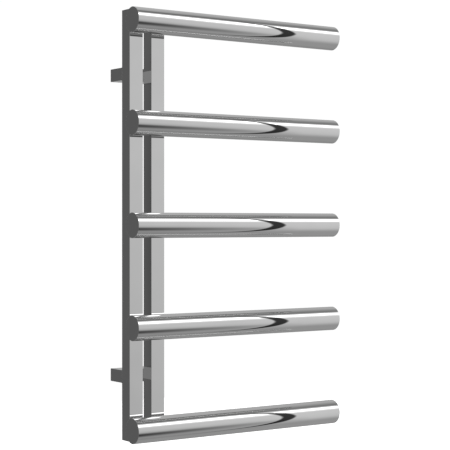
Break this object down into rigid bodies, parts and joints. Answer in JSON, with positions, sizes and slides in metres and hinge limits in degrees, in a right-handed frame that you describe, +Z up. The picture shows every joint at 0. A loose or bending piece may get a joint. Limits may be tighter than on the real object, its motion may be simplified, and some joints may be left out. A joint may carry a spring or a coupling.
{
  "type": "towel warmer rack",
  "caption": "Wall-hung towel warmer with two square posts, round rails that stand in front of them and reach out to one side, and hollow arms on wall shoes.",
  "frame": {"origin": "centre of the rectangle of four wall screw holes, on the wall's face", "axes": "+Y into the wall, +Z up along the posts, +X the way the rails reach out"},
  "size_m": [0.5, 0.126, 0.85],
  "materials": {
    "chrome": "polished chrome plate on steel",
    "socket": "chrome plate, bare machined thread inside",
    "cast_zinc": "matt cast metal",
    "screw_steel": "zinc plated steel",
    "nylon": "natural nylon",
    "plated_brass": "nickel plated brass",
    "seal_rubber": "black sealing rubber"
  },
  "bodies": {
    "wall_shoes": {"upper_left_wall_shoe": "cast_zinc", "upper_right_wall_shoe": "cast_zinc", "lower_left_wall_shoe": "cast_zinc", "lower_right_wall_shoe": "cast_zinc"},
    "rack": {"left_post": "chrome", "right_post": "chrome", "left_post_top_cap": "chrome", "right_post_top_cap": "chrome", "left_valve_boss": "socket", "right_valve_boss": "socket", "rail_1": "chrome", "rail_1_left_cap": "chrome", "rail_1_right_cap": "chrome", "rail_1_left_spigot": "chrome", "rail_1_right_spigot": "chrome", "rail_2": "chrome", "rail_2_left_cap": "chrome", "rail_2_right_cap": "chrome", "rail_2_left_spigot": "chrome", "rail_2_right_spigot": "chrome", "rail_3": "chrome", "rail_3_left_cap": "chrome", "rail_3_right_cap": "chrome", "rail_3_left_spigot": "chrome", "rail_3_right_spigot": "chrome", "rail_4": "chrome", "rail_4_left_cap": "chrome", "rail_4_right_cap": "chrome", "rail_4_left_spigot": "chrome", "rail_4_right_spigot": "chrome", "rail_5": "chrome", "rail_5_left_cap": "chrome", "rail_5_right_cap": "chrome", "rail_5_left_spigot": "chrome", "rail_5_right_spigot": "chrome", "upper_left_arm": "chrome", "upper_right_arm": "chrome", "lower_left_arm": "chrome", "lower_right_arm": "chrome", "vent_washer": "seal_rubber", "vent_body": "plated_brass"},
    "upper_left_pad": {"upper_left_pad": "nylon"},
    "upper_left_grub": {"upper_left_grub_screw": "screw_steel"},
    "upper_right_pad": {"upper_right_pad": "nylon"},
    "upper_right_grub": {"upper_right_grub_screw": "screw_steel"},
    "lower_left_pad": {"lower_left_pad": "nylon"},
    "lower_left_grub": {"lower_left_grub_screw": "screw_steel"},
    "lower_right_pad": {"lower_right_pad": "nylon"},
    "lower_right_grub": {"lower_right_grub_screw": "screw_steel"},
    "bleed_seal": {"bleed_seal": "seal_rubber"},
    "bleed_screw": {"bleed_screw": "plated_brass"}
  },
  "joints": [
    {"name": "rack_depth", "type": "slide", "parent": "wall_shoes", "child": "rack", "axis": [0, -1, 0], "range_m": [0, 0.012]},
    {"name": "upper_left_grub_advance", "type": "slide", "parent": "rack", "child": "upper_left_pad", "axis": [0, 0, 1], "range_m": [-0.0024, 0.00024]},
    {"name": "upper_left_grub_turn", "type": "hinge", "parent": "upper_left_pad", "child": "upper_left_grub", "pos_m": [-0.025, -0.011, 0.287], "axis": [0, 0, 1], "range_deg": [-1080.5, 108.5]},
    {"name": "upper_right_grub_advance", "type": "slide", "parent": "rack", "child": "upper_right_pad", "axis": [0, 0, 1], "range_m": [-0.0024, 0.00024]},
    {"name": "upper_right_grub_turn", "type": "hinge", "parent": "upper_right_pad", "child": "upper_right_grub", "pos_m": [0.025, -0.011, 0.287], "axis": [0, 0, 1], "range_deg": [-1080.5, 108.5]},
    {"name": "lower_left_grub_advance", "type": "slide", "parent": "rack", "child": "lower_left_pad", "axis": [0, 0, 1], "range_m": [-0.0024, 0.00024]},
    {"name": "lower_left_grub_turn", "type": "hinge", "parent": "lower_left_pad", "child": "lower_left_grub", "pos_m": [-0.025, -0.011, -0.312], "axis": [0, 0, 1], "range_deg": [-1080.5, 108.5]},
    {"name": "lower_right_grub_advance", "type": "slide", "parent": "rack", "child": "lower_right_pad", "axis": [0, 0, 1], "range_m": [-0.0024, 0.00024]},
    {"name": "lower_right_grub_turn", "type": "hinge", "parent": "lower_right_pad", "child": "lower_right_grub", "pos_m": [0.025, -0.011, -0.312], "axis": [0, 0, 1], "range_deg": [-1080.5, 108.5]},
    {"name": "bleed_advance", "type": "slide", "parent": "rack", "child": "bleed_seal", "axis": [0, 1, 0], "range_m": [0, 0.0012]},
    {"name": "bleed_turn", "type": "hinge", "parent": "bleed_seal", "child": "bleed_screw", "pos_m": [0.0275, -0.036, 0.35], "axis": [0, 1, 0], "range_deg": [0, 540.5]}
  ],
  "couplings": [
    {"joint": "upper_left_grub_turn", "follows": "upper_left_grub_advance", "rad_per_m": 7854},
    {"joint": "upper_right_grub_turn", "follows": "upper_right_grub_advance", "rad_per_m": 7854},
    {"joint": "lower_left_grub_turn", "follows": "lower_left_grub_advance", "rad_per_m": 7854},
    {"joint": "lower_right_grub_turn", "follows": "lower_right_grub_advance", "rad_per_m": 7854},
    {"joint": "bleed_turn", "follows": "bleed_advance", "rad_per_m": 7854}
  ]
}
